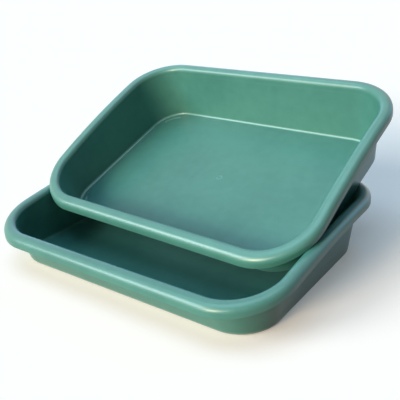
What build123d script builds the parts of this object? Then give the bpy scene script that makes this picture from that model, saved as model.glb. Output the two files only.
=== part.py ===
# Potting soil tray: a pair of identical moulded trays, the upper one set back and askew on the lower one.
# Millimetres, +Z up, X along the long side, the low front edge towards -Y.
# The origin is the centre of the lower tray's underside, on the surface that it stands on.
import math
import os

from build123d import *

os.makedirs("parts", exist_ok=True)

# Driving sizes of one tray
floor_length = 526.0
floor_width = 364.0
floor_corner_radius = 64.0
wall = 2.5
front_height = 69.0
back_height = 115.0
rim_crown = 13.5
side_draft = 8.5
front_draft = 18.0
back_draft = 8.0
floor_fillet = 5.0

# Rolled bead along the rim
bead_width = 22.0
bead_outer_radius = 10.0
bead_inner_radius = 11.0
bead_wall = 2.3
lip_depth = 17.0

# Marks in the floor
gate_mark_radius = 5.0
gate_mark_depth = 0.5
corner_groove_width = 5.0
corner_groove_depth = 0.7
corner_groove_inset = 13.0
corner_groove_sweep = 46.0

# How the upper tray lies: pushed back and a little askew, then let down until it rests
upper_shift_left = 3.0
upper_shift_back = 126.0
upper_turn = -1.3
resting_clearance = 0.3

# How its resting place is found
angle_steps = 60
settling_rounds = 24
settling_share = 0.9

# Sizes that follow from the driving sizes
quarter_turn = 90.0
overrun = wall + wall
front_rise = front_height - wall
back_rise = back_height - wall
side_slope = math.tan(math.radians(side_draft))
front_slope = math.tan(math.radians(front_draft))
back_slope = math.tan(math.radians(back_draft))
front_edge = floor_width / 2 + front_rise * front_slope + bead_width
back_edge = floor_width / 2 + back_rise * back_slope + bead_width
form_height = back_height + rim_crown + overrun

# The crest of the rim is an arc seen from the side: low in front, crowned, nearly level at the back
rim_run = front_edge + back_edge
rim_lift = back_height - front_height
rim_chord = math.hypot(rim_run, rim_lift)
rim_radius = ((rim_chord / 2) ** 2 + rim_crown**2) / (rim_crown + rim_crown)
centre_drop = rim_radius - rim_crown
rim_centre_y = (back_edge - front_edge) / 2 + centre_drop * rim_lift / rim_chord
rim_centre_z = (back_height + front_height) / 2 - centre_drop * rim_run / rim_chord

# The rim's outer edge in plan
rim_front_half = floor_length / 2 + front_rise * side_slope + bead_width
rim_back_half = floor_length / 2 + back_rise * side_slope + bead_width
rim_front_radius = floor_corner_radius + front_rise * (side_slope + front_slope) / 2 + bead_width
rim_back_radius = floor_corner_radius + back_rise * (side_slope + back_slope) / 2 + bead_width
rim_splay = math.atan((rim_back_half - rim_front_half) / rim_run)
front_corner_x = rim_front_half - rim_front_radius * (1 / math.cos(rim_splay) - math.tan(rim_splay))
back_corner_x = rim_back_half - rim_back_radius * (1 / math.cos(rim_splay) + math.tan(rim_splay))
front_corner_y = rim_front_radius - front_edge
back_corner_y = back_edge - rim_back_radius


def rim_height(y, drop=0.0):
    """The height of the rim's crest, or of a line a set drop below it."""
    return rim_centre_z + math.sqrt((rim_radius - drop) ** 2 - (y - rim_centre_y) ** 2)


def outline(front_half, back_half, front, back, front_radius, back_radius):
    """One plan outline of the tray, drawn in the sketch that is open."""
    Polygon((-front_half, front), (front_half, front), (back_half, back), (-back_half, back), align=None)
    fillet(vertices().group_by(Axis.Y)[0], front_radius)
    fillet(vertices().group_by(Axis.Y)[-1], back_radius)


def wall_outline(rise, grow=0.0):
    """The inside of the walls at a rise above the floor."""
    half_length = floor_length / 2 + rise * side_slope + grow
    front = -floor_width / 2 - rise * front_slope - grow
    back = floor_width / 2 + rise * back_slope + grow
    front_radius = floor_corner_radius + rise * (side_slope + front_slope) / 2 + grow
    back_radius = floor_corner_radius + rise * (side_slope + back_slope) / 2 + grow
    outline(half_length, half_length, front, back, front_radius, back_radius)


def rim_outline(grow=0.0):
    """The rim's outer edge."""
    front, back = front_edge + grow, back_edge + grow
    front_radius, back_radius = rim_front_radius + grow, rim_back_radius + grow
    outline(rim_front_half + grow, rim_back_half + grow, -front, back, front_radius, back_radius)


def under_crest(drop=0.0):
    """A side view of all that lies under the crest, or under a line a set drop below it."""
    front = -front_edge - overrun
    back = back_edge + overrun
    middle = (front + back) / 2
    ends = [(y, rim_height(y, drop)) for y in (front, middle, back)]
    with BuildSketch(Plane.YZ.offset(-floor_length)) as side_view:
        with BuildLine():
            ThreePointArc(*ends)
            Polyline(ends[0], (front, -overrun), (back, -overrun), ends[-1])
        make_face()
    return side_view.sketch


side_view_reach = floor_length + floor_length

# The inside of the tray, which is cut out of the outer form
with BuildPart() as hollow:
    with BuildSketch(Plane.XY.offset(wall)):
        wall_outline(0)
    with BuildSketch(Plane.XY.offset(form_height)):
        wall_outline(form_height - wall)
    loft(ruled=True)

# The outer form of the floor and walls
with BuildPart() as outer_form:
    with BuildSketch(Plane.XY):
        wall_outline(-wall, wall)
    with BuildSketch(Plane.XY.offset(form_height)):
        wall_outline(form_height - wall, wall)
    loft(ruled=True)

# All that lies below the lip's lower edge
with BuildPart() as below_lip:
    with BuildSketch(Plane.XY):
        rim_outline(overrun)
    extrude(amount=form_height)
    extrude(under_crest(lip_depth), amount=side_view_reach, mode=Mode.INTERSECT)


def crest_face():
    """The arched top face of the rim, the highest one with a hole in it."""
    return faces().filter_by(lambda face: face.inner_wires()).sort_by(Axis.Z)[-1]


# The groove under the bead, open downwards between the wall and the lip
with BuildPart() as groove:
    with BuildSketch(Plane.XY):
        rim_outline(-bead_wall)
    extrude(amount=form_height)
    extrude(under_crest(bead_wall), amount=side_view_reach, mode=Mode.INTERSECT)
    fillet(faces().sort_by(Axis.Z)[-1].outer_wire().edges(), bead_outer_radius - bead_wall)
    add(outer_form.part, mode=Mode.SUBTRACT)
    fillet(crest_face().inner_wires()[0].edges(), bead_inner_radius - wall)

# One tray: the rim's bead, then the outer form, the hollow, the groove and the marks in the floor
with BuildPart() as tray:
    with BuildSketch(Plane.XY):
        rim_outline()
    extrude(amount=form_height)
    extrude(under_crest(), amount=side_view_reach, mode=Mode.INTERSECT)
    fillet(faces().sort_by(Axis.Z)[-1].outer_wire().edges(), bead_outer_radius)
    add(below_lip.part, mode=Mode.SUBTRACT)
    add(outer_form.part)
    extrude(under_crest(), amount=side_view_reach, mode=Mode.INTERSECT)
    fillet(faces().sort_by(Axis.Z)[0].outer_wire().edges(), floor_fillet + wall)
    add(hollow.part, mode=Mode.SUBTRACT)
    fillet(crest_face().inner_wires()[0].edges(), bead_inner_radius)
    fillet(faces().filter_by(Plane.XY).sort_by(Axis.Z)[-1].outer_wire().edges(), floor_fillet)
    add(groove.part, mode=Mode.SUBTRACT)
    with Locations((0, 0, wall - gate_mark_depth)):
        Cylinder(gate_mark_radius, wall, align=(Align.CENTER, Align.CENTER, Align.MIN), mode=Mode.SUBTRACT)
    corner_x = floor_length / 2 - floor_corner_radius
    corner_y = floor_width / 2 - floor_corner_radius
    groove_radius = floor_corner_radius - corner_groove_inset
    groove_start = (quarter_turn - corner_groove_sweep) / 2
    corners = [(1, 1), (-1, 1), (-1, -1), (1, -1)]
    for turns, (side, end) in enumerate(corners):
        centre = (side * corner_x, end * corner_y)
        start = quarter_turn * turns + groove_start
        with BuildSketch(Plane.XY.offset(wall - corner_groove_depth)):
            SlotArc(
                CenterArc(centre, groove_radius, start, corner_groove_sweep, mode=Mode.PRIVATE),
                corner_groove_width,
            )
        extrude(amount=wall, mode=Mode.SUBTRACT)


def depth_in_rim(x, y):
    """How far a point in plan lies inside the rim's outer edge."""
    x = abs(x)
    if y < front_corner_y and x > front_corner_x:
        return rim_front_radius - math.hypot(x - front_corner_x, y - front_corner_y)
    if y > back_corner_y and x > back_corner_x:
        return rim_back_radius - math.hypot(x - back_corner_x, y - back_corner_y)
    side_edge = rim_front_half + (y + front_edge) * math.tan(rim_splay)
    return min((side_edge - x) * math.cos(rim_splay), y + front_edge, back_edge - y)


def room_over_bead(point):
    """The height of a point over the lower tray's bead, or a large one where no bead lies below it."""
    depth = depth_in_rim(point.X, point.Y)
    if not 0 < depth < bead_width:
        return form_height
    outer = max(bead_outer_radius - depth, 0)
    inner = max(bead_inner_radius - bead_width + depth, 0)
    drop = bead_outer_radius - math.sqrt(bead_outer_radius**2 - outer**2)
    drop += bead_inner_radius - math.sqrt(bead_inner_radius**2 - inner**2)
    return point.Z - rim_height(point.Y) + drop


def lip_edge(side):
    """Points along the lip's lower edge round one front corner."""
    points = []
    for radius in (rim_front_radius, rim_front_radius - bead_wall):
        for step in range(1, angle_steps):
            angle = math.radians(quarter_turn * step / angle_steps)
            x = front_corner_x + radius * math.cos(angle)
            y = front_corner_y - radius * math.sin(angle)
            points.append(Pos(side * x, y, rim_height(y, lip_depth)))
    return points


def bottom_edge(side):
    """Points over the rounded edge between the underside and one side wall, behind the middle."""
    radius = floor_fillet + wall
    wall_foot = floor_length / 2 + wall - wall * side_slope
    centre_x = wall_foot - radius * math.tan(math.radians((quarter_turn - side_draft) / 2))
    points = []
    for step in range(angle_steps):
        y = corner_y * step / angle_steps
        for turn in range(0, angle_steps, 4):
            angle = math.radians((quarter_turn - side_draft) * turn / angle_steps)
            x = centre_x + radius * math.sin(angle)
            points.append(Pos(side * x, y, radius - radius * math.cos(angle)))
    return points


def lie(height, tilt, roll):
    """The place of the upper tray: its height, its tilt with the back raised and its roll to the right."""
    turned = Location((-upper_shift_left, upper_shift_back, height), (0, 0, upper_turn))
    return turned * Location((0, 0, 0), (tilt, 0, 0)) * Location((0, 0, 0), (0, roll, 0))


def least_room(points, place):
    """The least room over the bead of points of the upper tray at a place."""
    return min(room_over_bead((place * point).position) for point in points)


# The upper tray is let down until its lip rests at both front corners and its underside at one side
left_lip, right_lip = lip_edge(-1), lip_edge(1)
left_bottom, right_bottom = bottom_edge(-1), bottom_edge(1)
height = back_height
tilt = math.degrees(math.atan(back_height / rim_run))
roll = 0.0
for settling_round in range(settling_rounds):
    place = lie(height, tilt, roll)
    left, right = least_room(left_lip, place), least_room(right_lip, place)
    back = min(least_room(left_bottom, place), least_room(right_bottom, place))
    height -= settling_share * (back - resting_clearance)
    tilt -= math.degrees(settling_share * (back - (left + right) / 2) / rim_run)
    roll -= math.degrees(settling_share * (left - right) / floor_length / 2)
upper_place = lie(height, tilt, roll)

# The two trays
with BuildPart() as lower_tray:
    add(tray.part)
lower_tray.part.label = "lower_tray"
export_step(lower_tray.part, "parts/lower_tray.step")

with BuildPart() as upper_tray:
    with Locations(upper_place):
        add(tray.part)
upper_tray.part.label = "upper_tray"
export_step(upper_tray.part, "parts/upper_tray.step")

for piece in (lower_tray.part, upper_tray.part):
    box = piece.bounding_box()
    print(piece.label, round(piece.volume), "mm3, valid:", piece.is_valid, "solids:", len(piece.solids()))
    print("  from", tuple(round(v, 2) for v in box.min), "to", tuple(round(v, 2) for v in box.max))
print("upper tray at height", round(height, 3), "tilt", round(tilt, 3), "roll", round(roll, 3))
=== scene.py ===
# %% [markdown]
# # A pair of potting trays
#
# The object is two identical garden trays, moulded in dark green polypropylene. Each is a shallow
# box with a low front, a high back, walls that lean outwards and a thick rolled rim. The second tray
# lies askew on the first. This lesson loads the measured solids as a frame, models one tray by hand
# with Blender's own operators, copies it, and gives both the look of satin moulded plastic.

# %% Load the frame
import math

import bmesh
import bpy
from mathutils import Matrix, Vector


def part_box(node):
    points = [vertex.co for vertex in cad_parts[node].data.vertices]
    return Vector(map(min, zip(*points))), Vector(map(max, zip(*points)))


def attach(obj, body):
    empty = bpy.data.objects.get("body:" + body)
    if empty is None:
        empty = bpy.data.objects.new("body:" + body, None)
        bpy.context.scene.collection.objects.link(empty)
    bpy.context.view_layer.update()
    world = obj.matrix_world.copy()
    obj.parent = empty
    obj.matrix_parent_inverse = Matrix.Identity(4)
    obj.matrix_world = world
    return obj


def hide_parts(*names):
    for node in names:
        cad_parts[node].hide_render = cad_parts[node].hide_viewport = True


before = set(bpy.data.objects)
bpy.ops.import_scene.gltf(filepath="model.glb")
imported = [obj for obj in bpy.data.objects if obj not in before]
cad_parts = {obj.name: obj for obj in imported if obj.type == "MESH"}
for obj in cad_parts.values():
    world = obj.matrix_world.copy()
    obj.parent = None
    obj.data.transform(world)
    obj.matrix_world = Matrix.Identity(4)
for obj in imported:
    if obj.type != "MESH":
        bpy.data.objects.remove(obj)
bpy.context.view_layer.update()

# %% [markdown]
# ## Sizes
#
# All sizes are in metres, because Blender is, and they are written as millimetres times `MM` so that
# they read like a drawing. They are the sizes of the solids, so the modelled tray fits over them.
# Everything that can be worked out from another size is worked out.

# %% Sizes of one tray
MM = 0.001
floor_length = 526.0 * MM
floor_width = 364.0 * MM
floor_corner_radius = 64.0 * MM
wall = 2.5 * MM
front_height = 69.0 * MM
back_height = 115.0 * MM
rim_crown = 13.5 * MM
floor_fillet = 5.0 * MM
bead_width = 22.0 * MM
bead_outer_radius = 10.0 * MM
bead_inner_radius = 11.0 * MM
bead_wall = 2.3 * MM
lip_depth = 17.0 * MM
lip_rounding = 0.5 * MM
side_slope = math.tan(math.radians(8.5))
front_slope = math.tan(math.radians(18.0))
back_slope = math.tan(math.radians(8.0))
slopes = {"front": front_slope, "side": side_slope, "back": back_slope}

front_edge = floor_width / 2 + (front_height - wall) * front_slope + bead_width
back_edge = floor_width / 2 + (back_height - wall) * back_slope + bead_width
front_half = floor_length / 2 + (front_height - wall) * side_slope + bead_width
back_half = floor_length / 2 + (back_height - wall) * side_slope + bead_width
front_radius = floor_corner_radius + (front_height - wall) * (side_slope + front_slope) / 2 + bead_width
back_radius = floor_corner_radius + (back_height - wall) * (side_slope + back_slope) / 2 + bead_width
print("rim, in mm:", round(2 * back_half / MM), "by", round((front_edge + back_edge) / MM))

# %% [markdown]
# ## The way the tray is made
#
# Seen from above, every height of the tray has the same kind of outline: a rectangle with round
# corners. So the shell can be drawn as a hand would draw it in edit mode: one rounded outline, extruded
# again and again, up the inside wall, over the rim, down the lip, up into the hollow under the rim, and
# down the outside wall. After each extrusion the four corner arcs are scaled about their own centres and
# moved, which keeps them round. A bevelled box would be quicker, but its rim would have no hollow
# underside, and the walls couldn't lean differently in front and at the sides.
#
# The rim isn't level: it is low in front and arched. The shell is first made with a level rim, and a
# lattice then lowers the rim and leaves the floor as it is.

# %% Small helpers for edit mode
def deselect_all():
    if bpy.context.object and bpy.context.object.mode != "OBJECT":
        bpy.ops.object.mode_set(mode="OBJECT")
    bpy.ops.object.select_all(action="DESELECT")


def pick(obj):
    """Select one object alone and make it the active one."""
    deselect_all()
    bpy.context.view_layer.objects.active = obj
    obj.select_set(True)


def edit(obj):
    """Go into edit mode on one object, with nothing in it selected."""
    pick(obj)
    bpy.ops.object.mode_set(mode="EDIT")
    bpy.ops.mesh.select_all(action="DESELECT")
    return bmesh.from_edit_mesh(obj.data)


def select(items, wanted, kind="VERT"):
    """Select the vertices, edges or faces that pass a test, and nothing else."""
    bpy.ops.mesh.select_mode(type=kind)
    bpy.ops.mesh.select_all(action="DESELECT")
    for item in items:
        if wanted(item):
            item.select = True
    bmesh.from_edit_mesh(bpy.context.object.data).select_flush_mode()
    bmesh.update_edit_mesh(bpy.context.object.data)


print("helpers ready")

# %% [markdown]
# ## One outline
#
# A ring is described by its height, by how far its front, sides and back stand outside the floor's own
# rectangle, and by the radii of its front and back corners. `Ring.corner` gives where the centre of a
# corner arc is, which is what the scaling needs.

# %% A ring of the shell
CORNER_STEPS = 20


class Ring:
    def __init__(self, z, front, side, back, front_arc, back_arc):
        self.z, self.front, self.side, self.back = z, front, side, back
        self.front_arc, self.back_arc = front_arc, back_arc

    def corner(self, right, rear):
        """The centre and the radius of one corner arc, on the left or right, in front or at the back."""
        radius = self.back_arc if rear else self.front_arc
        x = floor_length / 2 + self.side - radius
        y = floor_width / 2 + self.back - radius if rear else radius - self.front - floor_width / 2
        return Vector((x if right else -x, y, self.z)), radius


def wall_ring(z, outside=False):
    """A ring on the inside or the outside of the walls, with the fillet at the floor."""
    grow = wall if outside else 0.0
    radius = floor_fillet + grow
    foot = 0.0 if outside else wall
    offsets = {}
    for name, slope in slopes.items():
        steep = math.sqrt(1 + slope**2)
        at_foot = grow + (foot - wall) * slope
        rise = z - foot
        offsets[name] = at_foot + rise * slope
        if rise < radius * (1 - slope / steep):
            centre = at_foot - radius * (steep - slope)
            offsets[name] = centre + math.sqrt(radius**2 - (radius - rise) ** 2)
    arcs = [floor_corner_radius + (offsets[end] + offsets["side"]) / 2 for end in ("front", "back")]
    return Ring(z, offsets["front"], offsets["side"], offsets["back"], *arcs)


def rim_ring(drop, inset):
    """A ring on the rim, at a drop below its crest and an inset from its outer edge."""
    insets = inset if isinstance(inset, dict) else dict.fromkeys(slopes, inset)
    front = front_edge - floor_width / 2 - insets["front"]
    back = back_edge - floor_width / 2 - insets["back"]
    side = back_half - floor_length / 2 - insets["side"]
    front_arc = front_radius - (insets["front"] + insets["side"]) / 2
    back_arc = back_radius - (insets["back"] + insets["side"]) / 2
    return Ring(back_height - drop, front, side, back, front_arc, back_arc)


print("floor ring's front corner:", wall_ring(wall).corner(True, False))

# %% [markdown]
# ## The path of the extrusions
#
# The cross-section is a list of rings. Round stretches are arcs in equal steps of angle. The inner edge
# of the rim meets a wall that leans by a different angle on each side, so its arc is worked out for each
# slope. The fillet at the floor and the arc at the rim get more steps than the straight walls need,
# because light lines run along them. A support ring close to the end of an arc keeps the smooth shading
# of the arc out of the flat wall.

# %% The rings from the floor over the rim and back to the underside
BEAD_STEPS = 12
FILLET_STEPS = 6
QUARTER_TURN = 90.0
support = 2.0 * MM


def arc_drops(radius, steps, last):
    """Drops below the top of an arc at equal steps of angle, from its top to a last angle."""
    return [radius * (1 - math.cos(math.radians(last * step / steps))) for step in range(steps + 1)]


def under_arc(drop, radius, at_top):
    """The inset of a rim that rounds into the leaning walls, for each slope."""
    insets = {}
    for name, slope in slopes.items():
        steep = math.sqrt(1 + slope**2)
        insets[name] = at_top + drop * slope
        if drop < radius * (1 - slope / steep):
            centre = at_top - radius * (steep - slope)
            insets[name] = centre + math.sqrt(radius**2 - (radius - drop) ** 2)
    return insets


hollow_outer = bead_outer_radius - bead_wall
hollow_inner = bead_inner_radius - wall
wall_lean = math.degrees(math.atan(side_slope))
leaning_quarter = QUARTER_TURN - wall_lean

rings = [wall_ring(wall + drop) for drop in arc_drops(floor_fillet, FILLET_STEPS, leaning_quarter)]
ramp_start = wall + floor_fillet
rings += [wall_ring(ramp_start)]
inner_drops = arc_drops(bead_inner_radius, BEAD_STEPS, leaning_quarter)
rings += [
    rim_ring(drop, under_arc(drop, bead_inner_radius, bead_width))
    for drop in reversed(inner_drops + [inner_drops[-1] + support])
]
for step in range(BEAD_STEPS + 1):
    angle = math.radians(QUARTER_TURN * step / BEAD_STEPS)
    drop = bead_outer_radius * (1 - math.cos(angle))
    rings += [rim_ring(drop, bead_outer_radius * (1 - math.sin(angle)))]
rings += [rim_ring(lip_depth - lip_rounding, 0.0), rim_ring(lip_depth, lip_rounding)]
rings += [rim_ring(lip_depth, bead_wall - lip_rounding), rim_ring(lip_depth - lip_rounding, bead_wall)]
for step in reversed(range(BEAD_STEPS + 1)):
    angle = math.radians(QUARTER_TURN * step / BEAD_STEPS)
    drop = bead_outer_radius - hollow_outer * math.cos(angle)
    rings += [rim_ring(drop, bead_outer_radius - hollow_outer * math.sin(angle))]
hollow_corner = bead_width - wall
hollow_drops = arc_drops(hollow_inner, BEAD_STEPS, leaning_quarter)
rings += [
    rim_ring(bead_wall + drop, under_arc(drop, hollow_inner, hollow_corner))
    for drop in hollow_drops + [hollow_drops[-1] + support]
]
outer_fillet = floor_fillet + wall
outer_drops = arc_drops(outer_fillet, FILLET_STEPS, leaning_quarter)
rings += [wall_ring(drop, outside=True) for drop in reversed(outer_drops)]
print("rings in the shell:", len(rings))

# %% [markdown]
# ## Extruding the shell
#
# The start is a plane with the size of the first ring. Bevelling its four vertices gives true arcs.
# Its face is deleted and the outline is left, and each next ring is extruded from the last one, which
# stays selected after the operator. The corner arcs are told apart by the quarter of the plan that
# they are in.

# %% Extrude the rings
def first_outline(ring):
    """A plane with bevelled corners, then only its outline."""
    deselect_all()
    bpy.ops.mesh.primitive_plane_add(size=1, location=(0, 0, ring.z))
    obj = bpy.context.object
    length = floor_length + 2 * ring.side
    width = floor_width + ring.front + ring.back
    obj.scale = (length, width, 1)
    obj.location.y = (ring.back - ring.front) / 2
    bpy.ops.object.transform_apply(location=True, rotation=False, scale=True)
    edit(obj)
    bpy.ops.mesh.select_all(action="SELECT")
    bpy.ops.mesh.bevel(offset=ring.front_arc, segments=CORNER_STEPS, affect="VERTICES", profile=0.5)
    bpy.ops.mesh.delete(type="ONLY_FACE")
    bpy.ops.mesh.select_all(action="SELECT")
    return obj


def fit_corners(obj, ring, last):
    """Scale and move the four corner arcs of the ring that is selected, from the last ring's shape."""
    mesh = bmesh.from_edit_mesh(obj.data)
    outline = [vertex for vertex in mesh.verts if vertex.select]
    middle = (last.back - last.front) / 2
    for right in (False, True):
        for rear in (False, True):
            select(outline, lambda v: (v.co.x > 0) == right and (v.co.y > middle) == rear)
            old_centre, old_radius = last.corner(right, rear)
            centre, radius = ring.corner(right, rear)
            share = radius / old_radius
            bpy.ops.transform.resize(value=(share, share, 1), center_override=old_centre)
            bpy.ops.transform.translate(value=centre - old_centre)
    select(outline, lambda v: True)


start = rings[0]
round_start = Ring(start.z, start.front, start.side, start.back, start.front_arc, start.front_arc)
tray = first_outline(round_start)
tray.name = "lower_moulded_tray"
fit_corners(tray, start, round_start)
for last, ring in zip(rings, rings[1:]):
    bpy.ops.mesh.extrude_edges_move()
    fit_corners(tray, ring, last)
print("vertices after the extrusions:", len(bmesh.from_edit_mesh(tray.data).verts))

# %% [markdown]
# ## Closing the floor
#
# The first and the last outline are each filled with one flat face, for the floor and the underside.
# Each face is inset by a little, so that the smooth shading of the fillet ends in a narrow border and
# the floor itself stays flat. The long straight strips are then cut across, as loop cuts would do, so
# that the rim can bend when the lattice arches it.

# %% Fill the floor and the underside, then cut the strips
STRIP_CUTS = 17
floor_border = 1.5 * MM
level_slack = MM / 10


def is_long_and_level(edge):
    ends = [vertex.co for vertex in edge.verts]
    return edge.calc_length() > floor_corner_radius and abs(ends[0].z - ends[1].z) < level_slack


select(bmesh.from_edit_mesh(tray.data).edges, is_long_and_level, "EDGE")
bpy.ops.mesh.subdivide(number_cuts=STRIP_CUTS)
for level in (rings[0].z, rings[-1].z):
    edges = bmesh.from_edit_mesh(tray.data).edges
    select(edges, lambda e: e.is_boundary and abs(e.verts[0].co.z - level) < wall / 2, "EDGE")
    bpy.ops.mesh.edge_face_add()
    bpy.ops.mesh.inset(thickness=floor_border)
bpy.ops.mesh.select_all(action="SELECT")
bpy.ops.mesh.normals_make_consistent(inside=False)
bpy.ops.object.mode_set(mode="OBJECT")
print("faces:", len(tray.data.polygons))

# %% [markdown]
# ## The marks of the mould
#
# The plastic is shot into the mould at the middle of the floor, where a small round dimple is left. A
# shallow round groove runs round each corner of the floor. Cutters are made for them: a cylinder, and a
# disc that is spun about the centre of each corner's arc into a bent rod. The rod is thick and only its
# lowest part reaches into the floor, so the groove comes out wide and shallow.

# %% Cutters for the dimple and the corner grooves
dimple_radius = 5.0 * MM
dimple_depth = 0.5 * MM
groove_width = 5.0 * MM
groove_depth = 0.7 * MM
groove_inset = 13.0 * MM
groove_radius = floor_corner_radius - groove_inset
groove_sweep = math.radians(46.0)
rod_radius = ((groove_width / 2) ** 2 + groove_depth**2) / (2 * groove_depth)
GROOVE_STEPS = 16
ROD_SIDES = 64
DIMPLE_SIDES = 48


def dimple_cutter():
    """An upright cylinder as high as its radius, whose foot reaches into the floor."""
    deselect_all()
    height = dimple_radius
    middle = (0, 0, wall - dimple_depth + height / 2)
    bpy.ops.mesh.primitive_cylinder_add(
        vertices=DIMPLE_SIDES, radius=dimple_radius, depth=height, location=middle
    )
    bpy.ops.object.transform_apply(location=True, rotation=False, scale=False)
    return bpy.context.object


def groove_cutter(right, rear):
    """A disc spun into a bent rod about the centre of a corner's arc, half the sweep each way."""
    across = 1 if right else -1
    along = 1 if rear else -1
    centre_x = across * (floor_length / 2 - floor_corner_radius)
    centre_y = along * (floor_width / 2 - floor_corner_radius)
    centre = Vector((centre_x, centre_y, 0))
    start = math.atan2(along, across) - groove_sweep / 2
    outward = Vector((math.cos(start), math.sin(start), 0))
    place = centre + outward * groove_radius + Vector((0, 0, wall - groove_depth + rod_radius))
    deselect_all()
    bpy.ops.mesh.primitive_circle_add(
        vertices=ROD_SIDES,
        radius=rod_radius,
        fill_type="NGON",
        location=place,
        rotation=(math.pi / 2, 0, start),
    )
    cutter = bpy.context.object
    bpy.ops.object.transform_apply(location=True, rotation=True, scale=True)
    edit(cutter)
    bpy.ops.mesh.select_all(action="SELECT")
    # With no window, spin turns the other way round, so its angle is negative.
    bpy.ops.mesh.spin(steps=GROOVE_STEPS, angle=-groove_sweep, center=centre, axis=(0, 0, 1))
    bpy.ops.mesh.select_all(action="SELECT")
    bpy.ops.mesh.normals_make_consistent(inside=False)
    bpy.ops.object.mode_set(mode="OBJECT")
    return cutter


cutters = [dimple_cutter()]
cutters += [groove_cutter(right, rear) for right in (False, True) for rear in (False, True)]
for cutter in cutters:
    xs = [vertex.co.x / MM for vertex in cutter.data.vertices]
    ys = [vertex.co.y / MM for vertex in cutter.data.vertices]
    print("cutter from", (round(min(xs)), round(min(ys))), "to", (round(max(xs)), round(max(ys))))

# %% [markdown]
# ## Cutting the marks
#
# Each mark is taken out of the floor by a Boolean modifier, which is applied at once. Its exact solver is
# slower than the fast one, but it keeps the flat floor clean where a cutter only grazes it. The cutters
# have done their work then and are deleted.

# %% Cut the marks out of the floor
for cutter in cutters:
    pick(tray)
    cut = tray.modifiers.new("cut", "BOOLEAN")
    cut.operation = "DIFFERENCE"
    cut.solver = "EXACT"
    cut.object = cutter
    bpy.ops.object.modifier_apply(modifier=cut.name)
    bpy.data.objects.remove(cutter)
print("faces with the marks:", len(tray.data.polygons))

# %% [markdown]
# ## Where the plastic sits in the mould
#
# The finish needs to know which part of the tray a point belongs to: the crest of the rim, the lip, the
# floor, or the place where the plastic was shot in. The level rim makes that easy, because its crest is at
# one height all round. So the place of each vertex is kept as an attribute before the rim is bent and the
# tray is laid down, and the material reads it.

# %% Keep the drawn place of each vertex
DRAWN = "drawn_place"
drawn = tray.data.attributes.new(DRAWN, "FLOAT_VECTOR", "POINT")
drawn.data.foreach_set("vector", [value for vertex in tray.data.vertices for value in vertex.co])
print("vertices with a drawn place:", len(drawn.data))

# %% [markdown]
# ## The arch of the rim
#
# Seen from the side, the crest is one long arc: low in front, highest behind the middle. A lattice does
# this in one move: its layers near the floor stay put, its layers at the rim drop by the arc, and those
# between share the drop, which keeps the walls flat. It also draws the front of the rim in a little,
# because a leaning wall that is lower ends sooner.

# %% Bend the rim with a lattice
rim_run = front_edge + back_edge
rim_lift = back_height - front_height
rim_chord = math.hypot(rim_run, rim_lift)
rim_radius = ((rim_chord / 2) ** 2 + rim_crown**2) / (2 * rim_crown)
rim_centre_y = (back_edge - front_edge) / 2 + (rim_radius - rim_crown) * rim_lift / rim_chord
rim_centre_z = (back_height + front_height) / 2 - (rim_radius - rim_crown) * rim_run / rim_chord


def rim_height(y):
    return rim_centre_z + math.sqrt(rim_radius**2 - (y - rim_centre_y) ** 2)


def arch_share(z):
    """How much of the rim's drop a level takes: none at the floor, all of it at the rim."""
    ramp_end = back_height - lip_depth - lip_rounding
    return min(max((z - ramp_start) / (ramp_end - ramp_start), 0.0), 1.0)


CAGE_ROWS = 64
layers = round(back_height / wall) + 1
deselect_all()
bpy.ops.object.add(type="LATTICE", location=(0, (back_edge - front_edge) / 2, back_height / 2))
cage = bpy.context.object
cage.scale = (2 * back_half, rim_run, back_height)
cage.data.points_u, cage.data.points_v, cage.data.points_w = 2, CAGE_ROWS, layers
cage.data.interpolation_type_u = "KEY_LINEAR"
cage.data.interpolation_type_v = "KEY_LINEAR"
cage.data.interpolation_type_w = "KEY_LINEAR"
for point in cage.data.points:
    y = cage.location.y + point.co.y * rim_run
    z = (point.co.z + 0.5) * back_height
    share = arch_share(z)
    narrowing = (1 - (y + front_edge) / rim_run) * (1 - front_half / back_half)
    shift = rim_height(y) - back_height
    point.co_deform.x = point.co.x * (1 - share * narrowing)
    point.co_deform.z = point.co.z + share * shift / back_height

pick(tray)
arching = tray.modifiers.new("arch", "LATTICE")
arching.object = cage
bpy.ops.object.modifier_apply(modifier=arching.name)
bpy.data.objects.remove(cage)
crest_heights = [round(rim_height(y) / MM, 1) for y in (-front_edge, 0, back_edge)]
print("crest in front, in the middle and at the back, in mm:", crest_heights)

# %% [markdown]
# ## The upper tray
#
# The second tray is a copy with its own mesh. It is turned a little, tilted with its back up and rolled a
# little to the right, and it rests with the front corners of its lip and one side of its floor on the
# lower tray's rim. Its place is then applied, so that it stays in the mesh as it does in the solids.

# %% Copy the tray and lay it down
upper_place = (-3.0 * MM, 126.0 * MM, 98.206 * MM)
upper_turn = -1.3
upper_tilt = 19.514
upper_roll = 1.007
smooth_limit = math.radians(25.0)

pick(tray)
bpy.ops.object.duplicate(linked=False)
upper = bpy.context.object
upper.name = "upper_moulded_tray"
turned = Matrix.Rotation(math.radians(upper_turn), 4, "Z")
tilted = Matrix.Rotation(math.radians(upper_tilt), 4, "X")
rolled = Matrix.Rotation(math.radians(upper_roll), 4, "Y")
upper.matrix_world = Matrix.Translation(upper_place) @ turned @ tilted @ rolled
bpy.ops.object.transform_apply(location=True, rotation=True, scale=True)

for piece, node in ((tray, "lower_tray"), (upper, "upper_tray")):
    pick(piece)
    bpy.ops.object.shade_smooth_by_angle(angle=smooth_limit)
    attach(piece, node)
    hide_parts(node)
    low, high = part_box(node)
    corners = [piece.matrix_world @ Vector(corner) for corner in piece.bound_box]
    extremes = [pick_end(corner[i] for corner in corners) for pick_end in (min, max) for i in range(3)]
    print(node, "solid, in mm:", [round(v / MM, 2) for v in (*low, *high)])
    print(node, "mesh, in mm: ", [round(v / MM, 2) for v in extremes])

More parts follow.
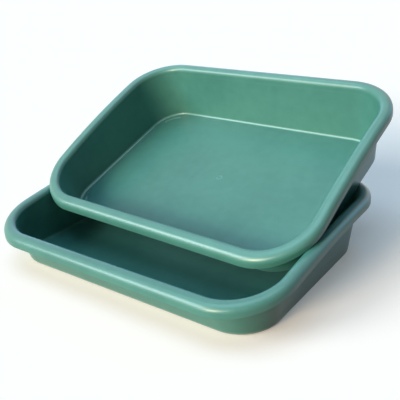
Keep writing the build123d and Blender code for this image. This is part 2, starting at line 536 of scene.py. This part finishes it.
# %% [markdown]
# ## Shader maths that reads like Python
#
# A plastic that looks real needs a dozen small sums: a mask here, a little more roughness there. Written
# node by node they are long and hard to follow. So a small class wraps one output socket and gives it
# Python's operators, and one method makes every other node: it takes the node's type, its settings and the
# values or links of its sockets.

# %% Wires and finishes
NOISE_MEAN = 0.5
# The Mix node has sockets of one name for numbers, vectors and colours, so the colour ones go by place.
COLOUR_A = 6
COLOUR_B = 7
COLOUR_OUT = 2


class Wire:
    """One output socket of a material, with operators that add Math nodes."""

    def __init__(self, finish, socket):
        self.finish, self.socket = finish, socket

    def maths(self, operation, first, second=0.0, clamp=False):
        settings = {"operation": operation, "use_clamp": clamp}
        return self.finish.node("ShaderNodeMath", settings, {0: first, 1: second})

    def __add__(self, other):
        return self.maths("ADD", self, other)

    def __radd__(self, other):
        return self.maths("ADD", other, self)

    def __sub__(self, other):
        return self.maths("SUBTRACT", self, other)

    def __rsub__(self, other):
        return self.maths("SUBTRACT", other, self)

    def __mul__(self, other):
        return self.maths("MULTIPLY", self, other)

    def __rmul__(self, other):
        return self.maths("MULTIPLY", other, self)

    def __pow__(self, other):
        return self.maths("POWER", self, other)

    def __abs__(self):
        return self.maths("ABSOLUTE", self)

    def clamped(self):
        return self.maths("ADD", self, 0.0, clamp=True)

    def sine(self):
        return self.maths("SINE", self)

    def rise(self, start, end):
        """A smooth step from 0 at the start to 1 at the end. The start may be above the end."""
        settings = {"interpolation_type": "SMOOTHSTEP"}
        low, high, flip = (start, end, False) if start < end else (end, start, True)
        sockets = {"Value": self, "From Min": low, "From Max": high}
        step = self.finish.node("ShaderNodeMapRange", settings, sockets)
        return 1 - step if flip else step

    def between(self, band, origin=0.0):
        """1 inside a band that is given as start, full, fading and end, from an origin."""
        start, full, fading, end = [origin + edge for edge in band]
        return self.rise(start, full) * self.rise(end, fading)


class Finish:
    """A material whose nodes are made one call at a time."""

    def __init__(self, name):
        self.material = bpy.data.materials.new(name)
        self.material.use_nodes = True
        self.tree = self.material.node_tree
        self.tree.nodes.clear()

    def node(self, kind, settings=None, sockets=None, out=0):
        made = self.tree.nodes.new(kind)
        for name, value in (settings or {}).items():
            setattr(made, name, value)
        for name, value in (sockets or {}).items():
            if isinstance(value, Wire):
                self.tree.links.new(value.socket, made.inputs[name])
            else:
                made.inputs[name].default_value = value
        return Wire(self, made.outputs[out]) if made.outputs else None

    def noise(self, place, scale, detail=2.0, roughness=0.5):
        sockets = {"Vector": place, "Scale": scale, "Detail": detail, "Roughness": roughness}
        return self.node("ShaderNodeTexNoise", {}, sockets)

    def uneven(self, place, per_metre, detail, depth):
        """A noise about zero, with a depth in metres, for the bump."""
        return (self.noise(place, per_metre, detail) - NOISE_MEAN) * depth

    def stretched(self, place, scales, turn=0.0):
        """The same place turned about Z and scaled by axis, for patterns that run one way."""
        sockets = {"Vector": place, "Rotation": (0.0, 0.0, turn), "Scale": scales}
        return self.node("ShaderNodeMapping", {}, sockets)

    def blend(self, share, first, second):
        sockets = {"Factor": share, COLOUR_A: first, COLOUR_B: second}
        return self.node("ShaderNodeMix", {"data_type": "RGBA"}, sockets, out=COLOUR_OUT)


print("wires and finishes ready")

# %% [markdown]
# ## Satin polypropylene
#
# The trays are one material: polypropylene with a dark green pigment, moulded in a fine satin tool. A
# single flat green would look like paint. On the real tray the pigment clouds a little as the plastic
# flows, and the crest of the rim and the bottom edge of the lip are rubbed paler by hands and by the
# bench.
# The fillet round the floor is glossier, and its paler colour is a painted highlight for the light line
# that runs along it. Each of these is a mask, a number from 0 to 1 over the surface, and the masks drive
# the colour, the roughness and the height. The masks of the parts read the drawn place, because it is the
# same on both trays.

# %% Masks for the parts of the tray
plastic = Finish("green_polypropylene")
where = plastic.node("ShaderNodeTexCoord", out="Object")
drawn_place = plastic.node("ShaderNodeAttribute", {"attribute_name": DRAWN}, out="Vector")
parts = plastic.node("ShaderNodeSeparateXYZ", {}, {"Vector": drawn_place})
drawn_x, drawn_y, drawn_z = [Wire(plastic, socket) for socket in parts.socket.node.outputs]

crest_start = back_height - 5.0 * MM
crest_full = back_height - 0.5 * MM
lip_band = (-0.6 * MM, -0.1 * MM, 0.1 * MM, 1.6 * MM)
fillet_band = (0.1 * MM, 0.5 * MM, 3.5 * MM, 4.5 * MM)
floor_full = wall + 0.4 * MM
walls_band = (6 * MM, 10 * MM, back_height - 15 * MM, back_height - 11 * MM)

crest = drawn_z.rise(crest_start, crest_full)
lip_line = drawn_z.between(lip_band, back_height - lip_depth)
# The fillet mask also lays a painted highlight into the colour: a pale line where the light line along the
# fillet falls.
fillet = drawn_z.between(fillet_band, wall)
on_floor = drawn_z.rise(floor_fillet, floor_full)
on_walls = drawn_z.between(walls_band)
print("masks for the parts: crest, lip line, fillet, floor, walls")

# %% [markdown]
# ## Clouds and wear
#
# Three noises of different size do the clouding: broad clouds, a finer mottle, and patches that break up
# the wear, because hands don't rub a rim evenly. An even pale line along it would look painted.

# %% Clouds, mottle and wear
crest_wear = 0.5
least_wear = 0.35
clouds = plastic.noise(where, 7.0, 3.0)
mottle = plastic.noise(where, 55.0, 4.0)
patches = plastic.noise(where, 24.0, 5.0, 0.65).rise(0.45, 0.72)
worn = (crest * crest_wear + lip_line) * (least_wear + (1 - least_wear) * patches)
print("noises and wear: least share of wear on a handled edge is", least_wear)

# %% [markdown]
# ## Dust and painted highlight in the marks
#
# Fine soil dries in every small hollow, so a little pale dust sits in the corner grooves and round the
# dimple, and makes them show. The pale colour there is partly that dust and partly a painted highlight,
# which stands in for the light that the slopes of the grooves and the dimple catch. Its mask follows the
# centres, radii and angles of the cutters.

# %% Dust and painted highlight in the grooves and round the dimple
groove_edge = (1.4 * MM, 2.8 * MM)
groove_side = 5.0 * MM
groove_end = 3.0 * MM
groove_dust_and_highlight = 1.5
dimple_edge = (0.8 * MM, 2.2 * MM)

from_dimple = (drawn_x * drawn_x + drawn_y * drawn_y) ** 0.5
corner_x = abs(drawn_x) - (floor_length / 2 - floor_corner_radius)
corner_y = abs(drawn_y) - (floor_width / 2 - floor_corner_radius)
from_corner = (corner_x * corner_x + corner_y * corner_y) ** 0.5
half_chord = groove_radius * math.sqrt(2) * math.sin(groove_sweep / 2)
off_diagonal = abs(corner_x - corner_y)
in_groove = 1 - abs(from_corner - groove_radius).rise(*groove_edge)
in_groove = in_groove * corner_x.rise(0.0, groove_side) * corner_y.rise(0.0, groove_side)
in_groove = in_groove * (1 - off_diagonal.rise(half_chord - groove_end, half_chord))
round_dimple = 1 - abs(from_dimple - dimple_radius).rise(*dimple_edge)
# The pale colour this mask lays in the grooves and round the dimple is partly real dust and partly a
# painted highlight.
dust_and_highlight = (in_groove * groove_dust_and_highlight + round_dimple) * on_floor
print("dust: a groove ends this far off the diagonal, in mm:", round(half_chord / MM, 1))

# %% [markdown]
# ## Scuffs, flow lines and draw lines
#
# A scuff is a short scratch, so it is noise that is stretched many times longer one way than the
# other, and only its peaks are kept. Three sets at different angles cross on the floor. The flow rings
# are a sine of the distance from the dimple that fades out, and a faint pale halo lies round them. Down
# the walls run very fine level lines, which the mould leaves when the tray is drawn out of it.

# %% Scuffs and lines
scuff_scales = (9.0, 420.0, 420.0)
draw_line_scales = (2.5, 2.5, 480.0)
ring_pitch = 9.0 * MM
ring_start = 6.0 * MM
ring_end = 62.0 * MM
halo_band = (34.0 * MM, 44.0 * MM, 46.0 * MM, 56.0 * MM)


def scuffs(degrees):
    """Short scratches that all run one way."""
    lines = plastic.noise(plastic.stretched(where, scuff_scales, math.radians(degrees)), 1.0, 1.0)
    broken = plastic.noise(where, 14.0, 2.0).rise(0.45, 0.65)
    return lines.rise(0.66, 0.74) * broken


scratches = (scuffs(24.0) + scuffs(-38.0) + scuffs(81.0)).clamped() * on_floor
ring_fade = from_dimple.rise(ring_end, ring_start) * on_floor
ripples = (from_dimple * (2 * math.pi / ring_pitch)).sine() * ring_fade
halo = from_dimple.between(halo_band) * on_floor
levels = plastic.noise(plastic.stretched(drawn_place, draw_line_scales), 1.0, 2.0)
draw_lines = (levels - NOISE_MEAN) * on_walls
print("scuffs, flow rings", round(ring_pitch / MM), "mm apart, and draw lines")

# %% [markdown]
# ## The colour
#
# The colour goes from a deeper to a fresher green with the clouds, and towards a chalky pale green where
# the plastic is worn, scuffed or dusty. On the fillet the pale green is a painted highlight, and in the
# grooves and round the dimple it is partly dust and partly painted highlight. A painted image could do the
# same, but masks fit any tray of this shape and have no seams.

# %% Colour
deep_green = (0.052, 0.183, 0.153, 1.0)
fresh_green = (0.067, 0.217, 0.179, 1.0)
# This pale green serves for real wear, scuffs and dust, and also for the painted highlight on the fillet
# and in the marks.
pale_wear_and_highlight_green = (0.150, 0.330, 0.285, 1.0)
cloud_share = 0.65
mottle_share = 0.35

tone = (clouds * cloud_share + mottle * mottle_share).rise(0.30, 0.70)
colour = plastic.blend(tone, deep_green, fresh_green)
# The fillet's share of this pale colour is a painted highlight, and the dust share is partly painted
# highlight.
chalk_and_highlight = worn * 0.22 + scratches * 0.06 + halo * 0.05 + fillet * 0.5 + dust_and_highlight * 0.45
colour = plastic.blend(chalk_and_highlight.clamped(), colour, pale_wear_and_highlight_green)
print("greens, deep to chalky:", deep_green[:3], fresh_green[:3], pale_wear_and_highlight_green[:3])

# %% [markdown]
# ## Roughness and height
#
# Roughness stays near that of a satin mould and is a little higher in the worn places and the scuffs. The
# height that feeds the bump is given in metres, so each part of it can be compared with a real one: a
# grain of hundredths of a millimetre or less, and waves of a quarter of a millimetre over a hand's width.

# %% Roughness and height
satin = 0.315
roughness = satin + (mottle - NOISE_MEAN) * 0.06 + (clouds - NOISE_MEAN) * 0.04
roughness = roughness + scratches * 0.03 + worn * 0.04 + halo * 0.03

grain = plastic.uneven(where, 900.0, 2.0, 0.008 * MM)
peel = plastic.uneven(where, 130.0, 2.0, 0.016 * MM)
waves = plastic.uneven(where, 11.0, 1.0, 0.26 * MM)
lines = ripples * (0.012 * MM) + draw_lines * (0.02 * MM) - scratches * (0.001 * MM)
height = grain + peel + waves + lines
bump = plastic.node("ShaderNodeBump", {}, {"Strength": 1.0, "Distance": 1.0, "Height": height})
print("satin roughness:", satin)

# %% [markdown]
# ## The surface
#
# The masks now meet in one shader. A thin coat on the crest of the rim and on the fillet gives them a
# stronger gloss than the walls have, which is quicker to steer than a second material with its own edge.
# Both trays share the material, because they come from one mould.

# %% The surface on both trays
coat_weight = 0.35
coat_roughness = 0.3
polypropylene_ior = 1.48
surface = {
    "Base Color": colour,
    "Roughness": roughness.clamped(),
    "Normal": bump,
    "IOR": polypropylene_ior,
    "Coat Weight": (fillet * coat_weight + crest * coat_weight).clamped(),
    "Coat Roughness": coat_roughness,
}
shader = plastic.node("ShaderNodeBsdfPrincipled", {}, surface)
plastic.node("ShaderNodeOutputMaterial", {}, {"Surface": shader})
for piece in (tray, upper):
    piece.data.materials.clear()
    piece.data.materials.append(plastic.material)
print("nodes in the plastic:", len(plastic.tree.nodes))

# %% [markdown]
# ## The camera
#
# The view is from the front right and a little above, as trays on a bench are seen. It is
# given as three directions: what is to the right in the picture, what is down, and what is straight ahead.
# A camera looks along its own -Z with +Y up, so the last two change sign in its matrix.

# %% Camera
camera = bpy.data.objects.new("camera", bpy.data.cameras.new("camera"))
bpy.context.scene.collection.objects.link(camera)
bpy.context.scene.camera = camera
film_width = 36.0
lens_length = 51.93
eye = Vector((0.6135, -0.7462, 0.5045))
to_right = Vector((0.80686, 0.58795, -0.05744))
downward = Vector((0.18652, -0.34580, -0.91958))
ahead = Vector((-0.56053, 0.73126, -0.38867))
turned_to_view = Matrix((to_right, -downward, -ahead)).transposed().to_4x4()
camera.matrix_world = Matrix.Translation(eye) @ turned_to_view
camera.data.sensor_width = film_width
camera.data.lens = lens_length
print("camera at", [round(v, 3) for v in eye], "looking", [round(v, 3) for v in ahead])

# %% [markdown]
# ## The studio floor
#
# The floor is pale paper. The camera and the reflections see it as that, with the soft shadow of the trays
# on it. To light that bounces about, it is a darker grey, so the hollow sides of the trays stay deep.
# Light Path tells the kinds of rays apart.

# %% Floor
def seen_rays(finish):
    """1 for the rays that show a background: from the camera, and in gloss and in glass."""
    path = finish.node("ShaderNodeLightPath").socket.node.outputs
    camera_ray = Wire(finish, path["Is Camera Ray"])
    glossy_ray = Wire(finish, path["Is Glossy Ray"])
    glass_ray = Wire(finish, path["Is Transmission Ray"])
    return (camera_ray + glossy_ray + glass_ray).clamped()


paper_white = (1.0, 0.85, 0.75, 1.0)
bounce_grey = (0.15, 0.15, 0.15, 1.0)
paper_glow = (0.17, 0.165, 0.165, 1.0)
paper_side = 60.0

paper = Finish("pale_paper")
sheet = paper.node("ShaderNodeBsdfDiffuse", {}, {"Color": paper_white})
glow = paper.node("ShaderNodeEmission", {}, {"Color": paper_glow})
seen_paper = paper.node("ShaderNodeAddShader", {}, {0: sheet, 1: glow})
dark_bounce = paper.node("ShaderNodeBsdfDiffuse", {}, {"Color": bounce_grey})
floor_shader = paper.node("ShaderNodeMixShader", {}, {0: seen_rays(paper), 1: dark_bounce, 2: seen_paper})
paper.node("ShaderNodeOutputMaterial", {}, {"Surface": floor_shader})

deselect_all()
bpy.ops.mesh.primitive_plane_add(size=paper_side)
floor = bpy.context.object
floor.name = "studio_floor"
floor.data.materials.append(paper.material)
print("floor:", tuple(round(side) for side in floor.dimensions))

# %% [markdown]
# ## The light
#
# Eight soft lamps stand round the trays, each so far away that its light is even, so they are sun lamps
# with a wide disc. Two main ones stand in front, one to the left and one nearly straight ahead. They light
# the walls that face them, draw the streaks on the front rims and leave the far inner sides dark. A small
# one beside them adds to the streak on the bends, and a low warm one lights the outer front walls. One
# high on the left and one overhead give the floors their cool sheen. Two low blue ones behind draw the
# edges of the rims. A direction is given as an angle round the trays, from straight in front towards the
# right, and an angle above the floor.

# %% Lamps
def soft_sun(name, around, above, disc, strength, tint):
    """A sun lamp. At strength 1 a white surface that faces it renders white."""
    data = bpy.data.lights.new(name, "SUN")
    data.angle = math.radians(disc)
    data.energy = strength * math.pi
    data.color = tint
    obj = bpy.data.objects.new(name, data)
    bpy.context.scene.collection.objects.link(obj)
    turn = math.radians(around)
    lift = math.radians(above)
    flat = math.cos(lift)
    towards = Vector((math.sin(turn) * flat, -math.cos(turn) * flat, math.sin(lift)))
    obj.rotation_euler = (-towards).to_track_quat("-Z", "Y").to_euler()
    print(name, "from", [round(v, 2) for v in towards])


skylight = (0.78, 0.92, 1.0)
daylight = (1.0, 0.87, 0.63)
warm = (1.0, 0.84, 0.56)
cool = (0.46, 0.73, 1.0)
blue = (0.12, 0.56, 1.0)
soft_sun("key_left", 322, 26, 26, 0.72, skylight)
soft_sun("key_front", 351, 17, 18, 0.86, daylight)
soft_sun("front_right", 8, 23, 16, 0.13, skylight)
soft_sun("low_front", 345, 4, 40, 0.28, warm)
soft_sun("high_left", 300, 60, 40, 0.12, cool)
soft_sun("overhead", 270, 86, 50, 0.40, cool)
soft_sun("rim_back_left", 225, 24, 40, 0.12, blue)
soft_sun("rim_back_right", 152, 20, 30, 0.13, blue)

# %% [markdown]
# ## The world
#
# The world is white for the rays that show a background and gives no light of its own, so it neither
# washes out the soft shadow nor lights the trays. A white world that also gives light would be quicker,
# but it would flatten the walls.

# %% World
background = 1.0
white = (1.0, 1.0, 1.0, 1.0)
world = bpy.data.worlds.new("studio")
bpy.context.scene.world = world
world.use_nodes = True


class WorldFinish(Finish):
    def __init__(self, made_world):
        self.tree = made_world.node_tree
        self.tree.nodes.clear()


air = WorldFinish(world)
unseen = air.node("ShaderNodeBackground", {}, {"Strength": 0.0})
backdrop = air.node("ShaderNodeBackground", {}, {"Color": white, "Strength": background})
sky = air.node("ShaderNodeMixShader", {}, {0: seen_rays(air), 1: unseen, 2: backdrop})
air.node("ShaderNodeOutputWorld", {}, {"Surface": sky})
bpy.context.scene.view_settings.view_transform = "Standard"
print("world: white to the camera and in reflections, no light of its own")
